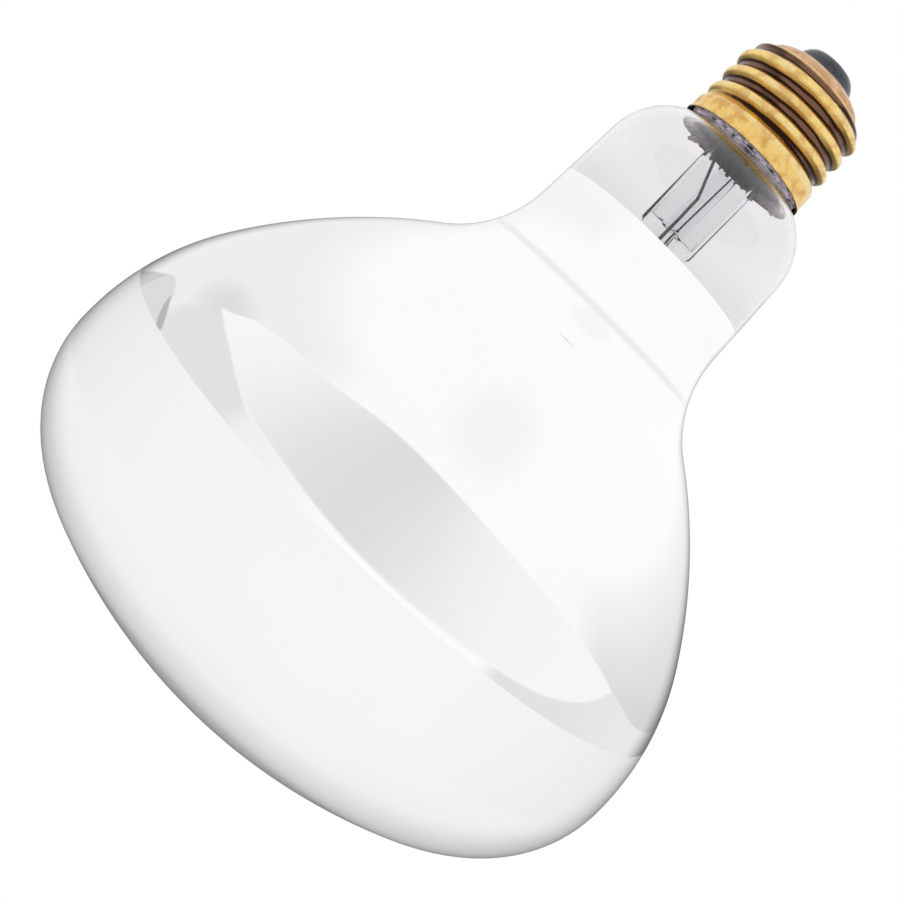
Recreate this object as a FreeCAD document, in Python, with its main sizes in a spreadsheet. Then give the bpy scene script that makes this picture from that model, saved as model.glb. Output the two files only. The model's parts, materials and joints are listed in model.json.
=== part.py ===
# Infrared heat lamp bulb: a blown reflector bulb, face frosted and flank mirrored inside, with a brass
# screw base.
#
# Frame: millimetres, +Z up. The lamp stands on its domed face with the screw base on top, as it also hangs in
# use. The origin is the lowest point of the face, and Z is the axis of the glass. The front is -Y.

import FreeCAD, Part
import enum
import math
import os
import Sketcher
from FreeCAD import Placement, Rotation, Vector

doc = FreeCAD.newDocument("heat_lamp")

# Driving sizes

SIZES = {
    # Glass bulb, outside
    "bulb_diameter": 127.0,
    "face_radius": 96.4,
    "edge_radius": 23.8,
    "crown_radius": 49.5,
    "crown_sweep": 32.5,
    "flank_radius": 102.6,
    "waist_radius": 22.3,
    "neck_radius": 20.5,
    "neck_taper": 3.4,
    "neck_length": 16.746,
    "shoulder_radius": 12.2,
    "seal_bend": 2.5,
    "seal_radius": 10.6,
    "seal_rise": 20.3,
    "glass_wall": 0.9,
    # Screw shell, rolled from sheet brass
    "rim_drop": 8.8,
    "rim_radius": 13.5,
    "rim_flare": 0.7,
    "band_radius": 13.3,
    "thread_major_radius": 13.17,
    "thread_pitch": 3.629,
    "thread_arc": 1.03,
    "band_length": 2.2,
    "thread_phase": 1.44,
    "thread_run_in": 3.0,
    "thread_length": 13.5,
    "thread_run_out": 1.5,
    "collar_radius": 10.3,
    "collar_rise": 1.1,
    "shoulder_bulge": 0.6,
    "shell_top_radius": 8.0,
    "shell_top_rise": 1.98,
    "shell_wall": 0.25,
    # Insulator and contact
    "insulator_foot_radius": 6.0,
    "insulator_foot_rise": 1.22,
    "insulator_foot_curve": 2.65,
    "insulator_top_rise": 1.9,
    "insulator_top_radius": 4.75,
    "insulator_dome": 4.0,
    "insulator_bore": 1.6,
    "contact_radius": 4.2,
    "contact_thickness": 0.5,
    "contact_inset": 0.3,
    "eyelet_bore": 0.9,
    "solder_radius": 2.6,
    "solder_height": 0.8,
    "fit_gap": 0.03,
    # Basing cement
    "cement_rise": 5.8,
    "cement_recess": 1.2,
    "cement_lip_radius": 11.5,
    "cement_gap": 0.1,
    "drop_count": 25,
    "drop_radius": 0.75,
    # Stem: flare, tube and press
    "stem_radius": 5.9,
    "stem_wall": 1.0,
    "flare_depth": 9.0,
    "flare_thickness": 1.1,
    "stem_depth": 26.2,
    "stem_floor": 1.4,
    "press_taper": 4.4,
    "press_length": 8.5,
    "press_width": 13.0,
    "press_thickness": 4.2,
    "press_azimuth": 78.0,
    "exhaust_hole": 0.9,
    "exhaust_hole_depth": 3.6,
    "exhaust_radius": 2.2,
    "exhaust_wall": 0.6,
    "exhaust_tip_rise": 5.2,
    # Leads
    "lead_spacing": 6.8,
    "press_wire_radius": 0.3,
    "press_wire_stub": 1.2,
    "side_lead_radius": 0.28,
    "centre_lead_radius": 0.2,
    "inner_lead_radius": 0.4,
    "inner_lead_drop": 4.0,
    "inner_lead_rise": 5.0,
    "side_azimuth": 138.0,
    "lead_bend": 0.9,
    "lead_clearance": 1.0,
    "side_solder_radius": 2.4,
    "side_solder_sink": 1.3,
    "side_solder_rise": 2.8,
    # Filament mount
    "arbor_radius": 1.5,
    "button_radius": 3.0,
    "arbor_length": 13.5,
    "button_thickness": 3.2,
    "filament_drop": 7.0,
    "filament_ring_radius": 13.0,
    "filament_coil_radius": 0.65,
    "filament_gap": 60.0,
    "support_wire_radius": 0.2,
    "support_count": 4,
    "support_spread": 180.0,
    "support_seat": 1.0,
    "support_loop": 300.0,
}

sheet = doc.addObject("Spreadsheet::Sheet", "sizes")
for row, (alias, number) in enumerate(SIZES.items(), start=1):
    sheet.set(f"A{row}", alias)
    sheet.set(f"B{row}", str(number))
    sheet.setAlias(f"B{row}", alias)
doc.recompute()


class Size:
    """A number with the expression that gives it from the sheet."""

    def __init__(self, number, text):
        self.number = float(number)
        self.text = text

    def joined(self, other, sign, number):
        return Size(number, f"({self.text} {sign} {as_size(other).text})")

    def __add__(self, other):
        return self.joined(other, "+", self.number + as_size(other).number)

    def __sub__(self, other):
        return self.joined(other, "-", self.number - as_size(other).number)

    def __mul__(self, other):
        return self.joined(other, "*", self.number * as_size(other).number)

    def __truediv__(self, other):
        return self.joined(other, "/", self.number / as_size(other).number)

    def __neg__(self):
        return Size(-self.number, f"(-{self.text})")

    def root(self):
        return Size(math.sqrt(self.number), f"sqrt({self.text})")

    def sine(self):
        return Size(math.sin(math.radians(self.number)), f"sin({self.text} * 1 deg)")

    def cosine(self):
        return Size(math.cos(math.radians(self.number)), f"cos({self.text} * 1 deg)")


def as_size(number):
    return number if isinstance(number, Size) else Size(number, repr(float(number)))


def size(alias):
    return Size(getattr(sheet, alias), f"sizes.{alias}")


def value(alias):
    return float(getattr(sheet, alias))


# Heights on the lamp's axis: the neck follows the glass below it, and the seal, the base, the stem and the
# filament mount follow the neck


def neck_shoulder():
    """Height of the end of the neck's straight run; each curve of the glass runs smoothly into the next."""
    edge, crown, flank, waist = (size(f"{name}_radius") for name in ("edge", "crown", "flank", "waist"))
    sweep, taper = size("crown_sweep"), size("neck_taper")
    half_width, face_reach = size("bulb_diameter") / 2, size("face_radius") - edge
    edge_x = half_width - edge
    widest = size("face_radius") - (face_reach * face_reach - edge_x * edge_x).root()
    flank_x = half_width - crown + (crown - flank) * sweep.cosine()
    flank_height = widest + (crown - flank) * sweep.sine()
    waist_x = size("neck_radius") + size("neck_length") * taper.sine() + waist * taper.cosine()
    across, reach = waist_x - flank_x, flank + waist
    waist_height = flank_height + (reach * reach - across * across).root()
    return waist_height - waist * taper.sine() + size("neck_length") * taper.cosine()


SHOULDER = neck_shoulder()
SEAL_TOP = SHOULDER + size("seal_rise")
RIM = SEAL_TOP - size("rim_drop")
THREAD_START = RIM + size("band_length")
THREAD_END = THREAD_START + size("thread_length")
COLLAR = THREAD_END + size("collar_rise")
SHELL_TOP = COLLAR + size("shell_top_rise")
INSULATOR_FOOT = SHELL_TOP + size("insulator_foot_rise")
INSULATOR_TOP = INSULATOR_FOOT + size("insulator_top_rise")
CEMENT_LOW = RIM + size("cement_recess")
CEMENT_TOP = RIM + size("cement_rise")
SIDE_SOLDER = RIM + size("side_solder_rise")
FLARE_START = SEAL_TOP - size("flare_depth")
EXHAUST_TIP = SEAL_TOP + size("exhaust_tip_rise")
STEM_BORE_END = SEAL_TOP - size("stem_depth")
PRESS_START = STEM_BORE_END - size("stem_floor")
PRESS_TOP = PRESS_START - size("press_taper")
PRESS_BOTTOM = PRESS_TOP - size("press_length")
BUTTON = PRESS_BOTTOM - size("arbor_length")
FILAMENT = BUTTON - size("filament_drop")


# Helpers for bodies and sketches


class Axis(enum.IntEnum):
    """A sketch's own two axes, by their geometry numbers."""

    HORIZONTAL = -1
    VERTICAL = -2


START, END, CENTRE = 1, 2, 3


def new_body(label):
    body = doc.addObject("PartDesign::Body", label)
    body.Label = label
    return body


def new_sketch(body, name, plane="XZ_Plane", offset=None):
    """A sketch on one of the body's own origin planes, moved along the plane's normal by offset."""
    sketch = body.newObject("Sketcher::SketchObject", f"{body.Name}_{name}")
    for feature in body.Origin.OriginFeatures:
        if feature.Role == plane:
            sketch.AttachmentSupport = [(feature, "")]
    sketch.MapMode = "FlatFace"
    if offset is not None:
        sketch.AttachmentOffset = Placement(Vector(0, 0, offset.number), Rotation())
        sketch.setExpression(".AttachmentOffset.Base.z", offset.text)
    return sketch


def bind(sketch, constraint, length=None, unit=""):
    """Add a constraint, and bind its number to the sheet."""
    index = sketch.addConstraint(constraint)
    if length is not None:
        sketch.setExpression(f"Constraints[{index}]", f"{length.text}{unit}")
    return index


def place_point(sketch, geometry, end, x, y):
    """Hold one point of a sketch at x, y."""
    for kind, axis, length in (("DistanceX", Axis.VERTICAL, x), ("DistanceY", Axis.HORIZONTAL, y)):
        if abs(length.number) < 1e-9:
            sketch.addConstraint(Sketcher.Constraint("PointOnObject", geometry, end, axis))
        else:
            bind(sketch, Sketcher.Constraint(kind, geometry, end, length.number), length)


def arc_between(start, end, radius, side):
    """The arc from start to end; side +1 has its centre on the left of the way from start to end."""
    chord = end - start
    middle = (start + end) * 0.5
    left = Vector(-chord.y, chord.x, 0).normalize()
    reach = math.sqrt(max(radius * radius - chord.Length * chord.Length / 4, 0))
    centre = middle + left * (side * reach)
    first, last = (start, end) if side > 0 else (end, start)
    angles = [math.atan2(point.y - centre.y, point.x - centre.x) for point in (first, last)]
    if angles[1] <= angles[0]:
        angles[1] += 2 * math.pi
    return Part.ArcOfCircle(Part.Circle(centre, Vector(0, 0, 1), radius), *angles)


def outline(sketch, corners):
    """A closed outline through corners (x, y) or (x, y, radius, side): the last two make the edge that
    leads to the corner an arc."""
    corners = [tuple(as_size(number) for number in corner[:3]) + corner[3:] for corner in corners]
    points = [Vector(corner[0].number, corner[1].number, 0) for corner in corners]
    edges = []
    for here, corner in enumerate(corners):
        start, end = points[here - 1], points[here]
        if len(corner) == 4:
            edge = sketch.addGeometry(arc_between(start, end, corner[2].number, corner[3]))
            ends = (START, END) if corner[3] > 0 else (END, START)
            bind(sketch, Sketcher.Constraint("Radius", edge, corner[2].number), corner[2])
        else:
            edge = sketch.addGeometry(Part.LineSegment(start, end))
            ends = (START, END)
        edges.append((edge, *ends))
    for here, (edge, first, last) in enumerate(edges):
        following, next_first, _ = edges[(here + 1) % len(edges)]
        sketch.addConstraint(Sketcher.Constraint("Coincident", edge, last, following, next_first))
        place_point(sketch, edge, last, corners[here][0], corners[here][1])


def circle(sketch, x, y, radius):
    edge = sketch.addGeometry(Part.Circle(Vector(x.number, y.number, 0), Vector(0, 0, 1), radius.number))
    bind(sketch, Sketcher.Constraint("Radius", edge, radius.number), radius)
    place_point(sketch, edge, CENTRE, x, y)


def turn(body, sketch, name, kind="PartDesign::Revolution", angle=None):
    """Revolve a sketch about the lamp's axis."""
    feature = body.newObject(kind, f"{body.Name}_{name}")
    feature.Profile = sketch
    feature.ReferenceAxis = (sketch, ["V_Axis"])
    feature.Angle = 360.0 if angle is None else angle.number
    if angle is not None:
        feature.setExpression("Angle", angle.text)
    return feature


def turned_body(label, corners, angle=None):
    """A piece turned about the lamp's axis from one closed outline."""
    body = new_body(label)
    sketch = new_sketch(body, "profile")
    outline(sketch, corners)
    turn(body, sketch, "turned", angle=angle)
    return body


def extrude(body, sketch, name, length, kind="PartDesign::Pad", reverse=False):
    feature = body.newObject(kind, f"{body.Name}_{name}")
    feature.Profile = sketch
    feature.Length = length.number
    feature.setExpression("Length", length.text)
    feature.Reversed = reverse
    return feature


def feature_of(label, shape):
    """A piece whose shape is worked out here."""
    feature = doc.addObject("Part::Feature", label)
    feature.Label = label
    feature.Shape = shape
    feature.Placement = Placement()
    return feature


def bent_path(points, bend):
    """Straight runs through points, joined by tangent arcs as large as bend where the runs leave room."""
    edges = []
    here = points[0]
    for before, corner, after in zip(points, points[1:], points[2:]):
        towards = (before - corner).normalize()
        onwards = (after - corner).normalize()
        half = (math.pi - towards.getAngle(onwards)) / 2
        room = 0.45 * min((before - corner).Length, (after - corner).Length)
        setback = min(bend * math.tan(half), room)
        radius = setback / math.tan(half)
        middle = (towards + onwards).normalize()
        centre = corner + middle * math.hypot(radius, setback)
        first, last = corner + towards * setback, corner + onwards * setback
        edges.append(Part.LineSegment(here, first).toShape())
        edges.append(Part.Arc(first, centre - middle * radius, last).toShape())
        here = last
    edges.append(Part.LineSegment(here, points[-1]).toShape())
    return Part.Wire(edges)


def round_wire(path, radius):
    """A round wire along a path."""
    start = path.Edges[0]
    first = start.FirstParameter
    section = Part.makeCircle(radius, start.valueAt(first), start.tangentAt(first))
    return path.makePipe(Part.Face(Part.Wire([section])))


def at_azimuth(radius, azimuth, height):
    """A point at a radius from the lamp's axis, an azimuth in degrees from +X, and a height."""
    angle = math.radians(azimuth)
    return Vector(radius * math.cos(angle), radius * math.sin(angle), height)


# Glass bulb


def glass_profile(sketch, offset):
    """The bulb's section, from the face to the seal, drawn inside the outer skin by offset."""
    off = offset.number
    face = value("face_radius") - off
    edge = value("edge_radius") - off
    crown = value("crown_radius") - off
    flank = value("flank_radius") - off
    waist = value("waist_radius") + off
    shoulder = value("shoulder_radius") - off
    bend = value("seal_bend") + off
    widest = value("bulb_diameter") / 2 - off
    neck = value("neck_radius") - off
    seal = value("seal_radius") - off
    top = SEAL_TOP.number
    taper = math.radians(value("neck_taper"))
    sweep = math.radians(value("crown_sweep"))
    level = Vector(0, 0, 1)

    # Centres of the arcs, each tangent to the last one
    face_centre = Vector(0, off + face, 0)
    edge_x = widest - edge
    edge_centre = Vector(edge_x, face_centre.y - math.sqrt((face - edge) ** 2 - edge_x**2), 0)
    crown_centre = edge_centre + Vector(edge - crown, 0, 0)
    crown_out = Vector(math.cos(sweep), math.sin(sweep), 0)
    flank_centre = crown_centre + crown_out * (crown - flank)
    neck_end = Vector(neck, SHOULDER.number, 0)
    neck_out = Vector(math.cos(taper), math.sin(taper), 0)
    neck_up = Vector(-math.sin(taper), math.cos(taper), 0)
    # The waist's centre lies its radius outside the neck's line, and outside the flank's circle
    outer_line = neck_end + neck_out * waist
    across = (flank_centre - outer_line).dot(neck_out)
    along = (flank_centre - outer_line).dot(neck_up)
    waist_centre = outer_line + neck_up * (along + math.sqrt((flank + waist) ** 2 - across**2))
    shoulder_centre = neck_end - neck_out * shoulder
    bend_centre_x = seal + bend
    rise = math.sqrt((shoulder + bend) ** 2 - (bend_centre_x - shoulder_centre.x) ** 2)
    bend_centre = Vector(bend_centre_x, shoulder_centre.y + rise, 0)

    def heading(centre, target):
        return math.atan2(target.y - centre.y, target.x - centre.x)

    face_to_edge = heading(face_centre, edge_centre)
    flank_to_waist = heading(flank_centre, waist_centre)
    shoulder_to_bend = heading(shoulder_centre, bend_centre)

    def arc(centre, radius, first, last):
        return sketch.addGeometry(Part.ArcOfCircle(Part.Circle(centre, level, radius), first, last))

    face_arc = arc(face_centre, face, -math.pi / 2, face_to_edge)
    edge_arc = arc(edge_centre, edge, face_to_edge, 0)
    crown_arc = arc(crown_centre, crown, 0, sweep)
    flank_arc = arc(flank_centre, flank, sweep, flank_to_waist)
    waist_arc = arc(waist_centre, waist, math.pi + taper, math.pi + flank_to_waist)
    neck_start = waist_centre - neck_out * waist
    neck_line = sketch.addGeometry(Part.LineSegment(neck_start, neck_end))
    shoulder_arc = arc(shoulder_centre, shoulder, taper, shoulder_to_bend)
    bend_arc = arc(bend_centre, bend, math.pi, math.pi + shoulder_to_bend)
    seal_line = sketch.addGeometry(Part.LineSegment(Vector(seal, bend_centre.y, 0), Vector(seal, top, 0)))
    top_line = sketch.addGeometry(Part.LineSegment(Vector(seal, top, 0), Vector(0, top, 0)))
    axis_line = sketch.addGeometry(Part.LineSegment(Vector(0, top, 0), Vector(0, off, 0)))

    # Face
    place_point(sketch, face_arc, START, as_size(0), offset)
    sketch.addConstraint(Sketcher.Constraint("PointOnObject", face_arc, CENTRE, Axis.VERTICAL))
    # Radii of the arcs
    radii = (
        (face_arc, size("face_radius") - offset),
        (edge_arc, size("edge_radius") - offset),
        (crown_arc, size("crown_radius") - offset),
        (flank_arc, size("flank_radius") - offset),
        (waist_arc, size("waist_radius") + offset),
        (shoulder_arc, size("shoulder_radius") - offset),
        (bend_arc, size("seal_bend") + offset),
    )
    for edge_id, radius in radii:
        bind(sketch, Sketcher.Constraint("Radius", edge_id, radius.number), radius)
    # Each edge runs smoothly into the next
    joints = (
        (face_arc, END, edge_arc, START),
        (edge_arc, END, crown_arc, START),
        (crown_arc, END, flank_arc, START),
        (flank_arc, END, waist_arc, END),
        (waist_arc, START, neck_line, START),
        (neck_line, END, shoulder_arc, START),
        (shoulder_arc, END, bend_arc, END),
        (bend_arc, START, seal_line, START),
    )
    for joint in joints:
        sketch.addConstraint(Sketcher.Constraint("Tangent", *joint))
    # Widest point, crown, neck and seal
    half_width = size("bulb_diameter") / 2 - offset
    bind(sketch, Sketcher.Constraint("DistanceX", edge_arc, END, half_width.number), half_width)
    sketch.addConstraint(Sketcher.Constraint("Horizontal", edge_arc, CENTRE, edge_arc, END))
    bind(sketch, Sketcher.Constraint("Angle", crown_arc, sweep), size("crown_sweep"), " * 1 deg")
    slope = Size(90 + math.degrees(taper), "(90 + sizes.neck_taper)")
    bind(sketch, Sketcher.Constraint("Angle", neck_line, math.pi / 2 + taper), slope, " * 1 deg")
    place_point(sketch, neck_line, END, size("neck_radius") - offset, SHOULDER)
    place_point(sketch, seal_line, END, size("seal_radius") - offset, SEAL_TOP)
    # Closing lines
    sketch.addConstraint(Sketcher.Constraint("Coincident", seal_line, END, top_line, START))
    sketch.addConstraint(Sketcher.Constraint("Horizontal", top_line))
    sketch.addConstraint(Sketcher.Constraint("PointOnObject", top_line, END, Axis.VERTICAL))
    sketch.addConstraint(Sketcher.Constraint("Coincident", top_line, END, axis_line, START))
    sketch.addConstraint(Sketcher.Constraint("Coincident", axis_line, END, face_arc, START))


def glass_envelope():
    """The blown bulb: a solid of revolution, hollowed by the same section drawn one wall further in."""
    body = new_body("glass_envelope")
    outside = new_sketch(body, "outside")
    glass_profile(outside, as_size(0))
    turn(body, outside, "blown_form")
    inside = new_sketch(body, "inside")
    glass_profile(inside, size("glass_wall"))
    turn(body, inside, "hollow", kind="PartDesign::Groove")
    return body


# Screw shell


def smooth_step(share):
    share = min(max(share, 0.0), 1.0)
    return share * share * (3 - 2 * share)


def thread_minor_radius():
    """The knuckle thread is two equal arcs, tangent to each other half a pitch apart."""
    arc = value("thread_arc")
    half_pitch = value("thread_pitch") / 2
    return value("thread_major_radius") - (2 * arc - math.sqrt(4 * arc * arc - half_pitch * half_pitch))


def knuckle_radius(turns):
    """The thread's outer radius, a number of turns along the axis from a crest."""
    arc = value("thread_arc")
    pitch = value("thread_pitch")
    away = abs(turns - round(turns)) * pitch
    if away < pitch / 4:
        return value("thread_major_radius") - arc + math.sqrt(arc * arc - away * away)
    away = pitch / 2 - away
    return thread_minor_radius() + arc - math.sqrt(arc * arc - away * away)


ROWS_A_TURN = 8
BEND_SHARES = (0.25, 0.5, 0.75)
BEND_POWER = 1.4
SHOULDER_SHARES = [step / 8 for step in range(9)]


def shoulder_point(share, inset):
    """Radius and height of the shell's rounded shoulder, a share of the way from collar to top edge."""
    collar, height = size("collar_radius"), COLLAR
    bulge = size("shoulder_bulge") * math.sin(math.pi * share)
    radius = collar + (size("shell_top_radius") - collar) * share + bulge
    return radius - inset, height + (SHELL_TOP - height - inset) * share


def shell_rows(inset):
    """A skin's plain section as radius, height pairs, from the rim to the edge round the insulator."""
    rim, band = value("rim_radius"), value("band_radius")
    low, flare = RIM.number, value("rim_flare")
    start, end = THREAD_START.number, THREAD_END.number
    # The rim curls out from the band
    rows = [(rim, low), (rim, low + flare / 3), ((rim + band) / 2, low + flare * 2 / 3), (band, low + flare)]
    rows.append((band, (low + flare + start) / 2))
    # Closer rows follow the knuckles of the thread
    count = round((end - start) / value("thread_pitch") * ROWS_A_TURN)
    rows += [(band, start + (end - start) * step / count) for step in range(count + 1)]
    # The shoulder bends in from the thread's root to a collar and goes on to the insulator
    root = thread_minor_radius()
    turn_in, climb = value("collar_radius") - root, COLLAR.number - end
    rows += [(root + turn_in * share**BEND_POWER, end + climb * share) for share in BEND_SHARES]
    rows = [(radius - inset, height) for radius, height in rows]
    for share in SHOULDER_SHARES:
        radius, height = shoulder_point(share, as_size(inset))
        rows.append((radius.number, height.number))
    return rows


def shell_radius(plain, height, angle, inset):
    """Radius of a skin of the shell: plain band, thread run in, full thread, thread run out, shoulder."""
    if height > THREAD_END.number:
        return plain
    crest = THREAD_START.number + value("thread_phase")
    turns = (height - crest) / value("thread_pitch") - angle / (2 * math.pi)
    run_in = smooth_step((height - THREAD_START.number) / value("thread_run_in"))
    run_out = smooth_step((THREAD_END.number - height) / value("thread_run_out"))
    threaded = plain + (knuckle_radius(turns) - inset - plain) * run_in
    root = thread_minor_radius() - inset
    return root + (threaded - root) * run_out


def shell_skin(inset):
    """One closed skin of the shell, inset by the sheet's thickness for the inner one."""
    columns = 24
    grid = []
    for plain, height in shell_rows(inset):
        ring = []
        for column in range(columns):
            angle = 2 * math.pi * column / columns
            radius = shell_radius(plain, height, angle, inset)
            ring.append(Vector(radius * math.cos(angle), radius * math.sin(angle), height))
        ring.append(ring[0])
        grid.append(ring)
    surface = Part.BSplineSurface()
    surface.interpolate(grid)
    return surface.toShape()


def end_edge(skin, end):
    """The round edge of a skin at one end: min for the rim, max for the top."""
    rounds = [edge for edge in skin.Edges if edge.BoundBox.XLength > 1 and edge.isClosed()]
    return end(rounds, key=lambda edge: edge.BoundBox.ZMin)


def screw_shell():
    """The brass shell, one sheet from rim to insulator with the thread rolled into both its sides."""
    skins = [shell_skin(0.0), shell_skin(value("shell_wall"))]
    faces = skins + [Part.makeRuledSurface(*(end_edge(skin, end) for skin in skins)) for end in (min, max)]
    shell = Part.Shell(faces)
    shell.sewShape()
    solid = Part.Solid(shell)
    if solid.Volume < 0:
        solid.reverse()
    return feature_of("screw_shell", solid)


# Insulator and contact


def insulator():
    """The black glass moulded into the shell's shoulder, with a contact seat and a bore for the lead."""
    top, bore = INSULATOR_TOP, size("insulator_bore")
    seat = top - size("contact_inset")
    seat_radius = size("contact_radius") + size("fit_gap")
    corners = [(bore, COLLAR)]
    corners += [shoulder_point(share, size("shell_wall") + size("cement_gap")) for share in SHOULDER_SHARES]
    corners += [
        (size("insulator_foot_radius"), INSULATOR_FOOT, size("insulator_foot_curve"), -1),
        (size("insulator_top_radius"), top, size("insulator_dome"), +1),
        (seat_radius, top),
        (seat_radius, seat),
        (bore, seat),
    ]
    return turned_body("insulator", corners)


def contact_plate():
    """The brass contact: a disc with a turned-down rim that sits in the insulator, bored for the lead."""
    seat = INSULATOR_TOP - size("contact_inset")
    top = seat + size("contact_thickness")
    bore, radius = size("eyelet_bore"), size("contact_radius")
    edge = size("contact_inset")
    collar = size("insulator_bore") - size("fit_gap")
    return turned_body(
        "contact_plate",
        [
            (bore, seat - size("contact_thickness")),
            (collar, seat - size("contact_thickness")),
            (collar, seat),
            (radius, seat),
            (radius, top - edge),
            (radius - edge, top, edge, +1),
            (bore, top),
        ],
    )


def contact_levels():
    """Heights of the underside of the contact's collar and of its top."""
    seat = INSULATOR_TOP - size("contact_inset")
    return seat - size("contact_thickness"), seat + size("contact_thickness")


def centre_solder():
    """The solder button on the contact, with the plug that fills the contact's bore."""
    plug_end, top = contact_levels()
    radius, height = size("solder_radius"), size("solder_height")
    dome = (radius * radius + height * height) / (height * 2)
    plug = size("eyelet_bore") - size("fit_gap")
    return turned_body(
        "centre_solder",
        [
            (0, plug_end),
            (plug, plug_end),
            (plug, top),
            (radius, top),
            (0, top + height, dome, +1),
        ],
    )


# Stem

# Where the four corners of the press lie on the round tube, as shares of its radius
CORNER_X, CORNER_Y = 0.6, 0.8


def stem():
    """The glass stem: a flare sealed to the neck, a tube, and the press that holds the wires."""
    body = new_body("stem")
    outer, wall = size("stem_radius"), size("stem_wall")
    inner = outer - wall
    seal, rim = size("seal_radius"), SEAL_TOP
    flare = FLARE_START
    thick = size("flare_thickness")
    # Trumpet of the flare: an arc from the tube's side to the level of the seal
    reach = seal - size("glass_wall") - outer
    rise = rim - flare
    sweep = (reach * reach + rise * rise) / (reach * 2)
    inner_reach = seal - thick - inner
    inner_rise = rise + thick
    inner_sweep = (inner_reach * inner_reach + inner_rise * inner_rise) / (inner_reach * 2)
    tube = new_sketch(body, "tube")
    outline(
        tube,
        [
            (0, PRESS_START),
            (outer, PRESS_START),
            (outer, flare),
            (seal - size("glass_wall"), rim, sweep, -1),
            (seal, rim),
            (seal, rim + thick),
            (seal - thick, rim + thick),
            (inner, flare, inner_sweep, +1),
            (inner, STEM_BORE_END),
            (0, STEM_BORE_END),
        ],
    )
    turn(body, tube, "blown_tube")

    # The tube is pressed flat: a round section runs into a flat one with round ends
    half_thick = size("press_thickness") / 2
    half_flat = size("press_width") / 2 - half_thick
    round_end = new_sketch(body, "press_round", "XY_Plane", PRESS_START)
    press_section(round_end, outer, outer * CORNER_X, outer * CORNER_Y, outer, (outer, +1))
    flat_end = new_sketch(body, "press_flat", "XY_Plane", PRESS_TOP)
    press_section(flat_end, half_flat + half_thick, half_flat, half_thick, half_thick, ())
    loft = body.newObject("PartDesign::AdditiveLoft", "stem_press_taper")
    loft.Profile = round_end
    loft.Sections = [flat_end]
    blade = new_sketch(body, "press_blade", "XY_Plane", PRESS_TOP)
    press_section(blade, half_flat + half_thick, half_flat, half_thick, half_thick, ())
    extrude(body, blade, "press", PRESS_TOP - PRESS_BOTTOM, reverse=True)

    # Bores for the two press wires, and the hole through which the bulb was emptied
    bores = new_sketch(body, "wire_bores", "XY_Plane", STEM_BORE_END)
    bore_radius = size("press_wire_radius") + size("fit_gap")
    half_spacing = size("lead_spacing") / 2
    circle(bores, half_spacing, as_size(0), bore_radius)
    circle(bores, -half_spacing, as_size(0), bore_radius)
    extrude(body, bores, "bored", STEM_BORE_END - PRESS_BOTTOM, "PartDesign::Pocket")
    drain = new_sketch(body, "drain", "XY_Plane", STEM_BORE_END)
    circle(drain, as_size(0), as_size(0), size("exhaust_hole"))
    extrude(body, drain, "drained", size("exhaust_hole_depth"), "PartDesign::Pocket")
    outlet = new_sketch(body, "outlet", "XZ_Plane")
    outlet_height = STEM_BORE_END - size("exhaust_hole_depth")
    circle(outlet, as_size(0), outlet_height + size("exhaust_hole") / 2, size("exhaust_hole"))
    extrude(body, outlet, "outlet_hole", outer + wall, "PartDesign::Pocket")
    turn_about_axis(body, size("press_azimuth"))
    return body


def press_section(sketch, end, corner_x, corner_y, end_radius, side):
    """A section of the press: two round ends, and two sides that are flat or, with a radius, round."""
    outline(
        sketch,
        [
            (end, 0, end_radius, +1),
            (corner_x, corner_y, end_radius, +1),
            (-corner_x, corner_y) + side,
            (-end, 0, end_radius, +1),
            (-corner_x, -corner_y, end_radius, +1),
            (corner_x, -corner_y) + side,
        ],
    )


def turn_about_axis(body, azimuth):
    """Set a body at an azimuth about the lamp's axis."""
    body.Placement = Placement(Vector(), Rotation(Vector(0, 0, 1), azimuth.number))
    body.setExpression("Placement.Rotation.Angle", f"{azimuth.text} * 1 deg")


def exhaust_tube():
    """The tube that the bulb was emptied through, seated in the stem and drawn off to a closed tip."""
    outer = size("exhaust_radius")
    inner = outer - size("exhaust_wall")
    low, tip = STEM_BORE_END, EXHAUST_TIP
    wall = size("exhaust_wall")
    return turned_body(
        "exhaust_tube",
        [
            (inner, low),
            (outer, low),
            (outer, tip - outer),
            (0, tip, outer, +1),
            (0, tip - wall),
            (inner, tip - outer, inner, -1),
        ],
    )


# Filament mount


def arbor():
    """The glass rod under the press, swelled at its end to the button that holds the support wires."""
    body = new_body("arbor")
    rod, button = size("arbor_radius"), size("button_radius")
    low = BUTTON
    thick = size("button_thickness")
    edge = thick / 4
    section = new_sketch(body, "profile")
    outline(
        section,
        [
            (0, low),
            (button - edge, low),
            (button, low + edge, edge, +1),
            (button, low + thick - edge),
            (button - edge, low + thick, edge, +1),
            (rod, low + thick),
            (rod, PRESS_BOTTOM),
            (0, PRESS_BOTTOM),
        ],
    )
    turn(body, section, "drawn_rod")
    seat = new_sketch(body, "wire_seat", "YZ_Plane", button - size("support_seat"))
    circle(seat, as_size(0), low + thick / 2, size("support_wire_radius") + size("fit_gap"))
    bore = extrude(body, seat, "wire_bore", size("support_seat") * 2, "PartDesign::Pocket", reverse=True)
    pattern = body.newObject("PartDesign::PolarPattern", "arbor_wire_bores")
    pattern.Originals = [bore]
    for feature in body.Origin.OriginFeatures:
        if feature.Role == "Z_Axis":
            pattern.Axis = (feature, [""])
    pattern.Occurrences = int(value("support_count"))
    pattern.setExpression("Occurrences", "sizes.support_count")
    pattern.Angle = value("support_spread")
    pattern.setExpression("Angle", "sizes.support_spread")
    body.Tip = pattern
    turn_about_axis(body, -size("support_spread") / 2)
    return body


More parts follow.
